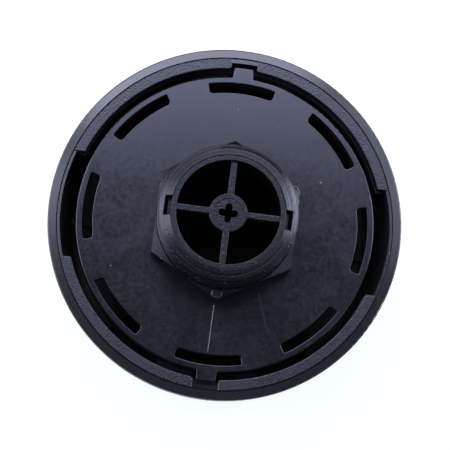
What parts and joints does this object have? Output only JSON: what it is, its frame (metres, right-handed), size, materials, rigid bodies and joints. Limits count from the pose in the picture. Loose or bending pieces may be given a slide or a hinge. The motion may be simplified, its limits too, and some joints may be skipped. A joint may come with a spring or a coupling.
{
  "type": "hydraulic filler breather",
  "caption": "Round plastic filler breather with a slotted base, a spanner hexagon and a threaded spigot whose snapped-in sleeve carries a keyed dipstick boss.",
  "frame": {"origin": "centre of the cover's flat top, which is the face that the breather lies on", "axes": "+Z along the spigot, out of its open end; the two latch tabs of the base lie on Y and the two entry gaps of the ring on X"},
  "size_m": [0.1082, 0.1082, 0.0697],
  "materials": {
    "black_plastic": "moulded glass-filled nylon, satin black, with fine spark-eroded grain on the ledge and the hexagon's end",
    "filter_paper": "resin-coated cellulose paper",
    "nitrile_rubber": "matt black"
  },
  "bodies": {
    "root": {"cover": "black_plastic", "retaining_ring": "black_plastic", "base": "black_plastic", "dipstick_holder": "black_plastic", "core_tube": "black_plastic", "pleated_media": "filter_paper", "open_end_cap": "black_plastic", "closed_end_cap": "black_plastic", "element_seal": "nitrile_rubber", "element_pad": "nitrile_rubber"}
  },
  "joints": []
}
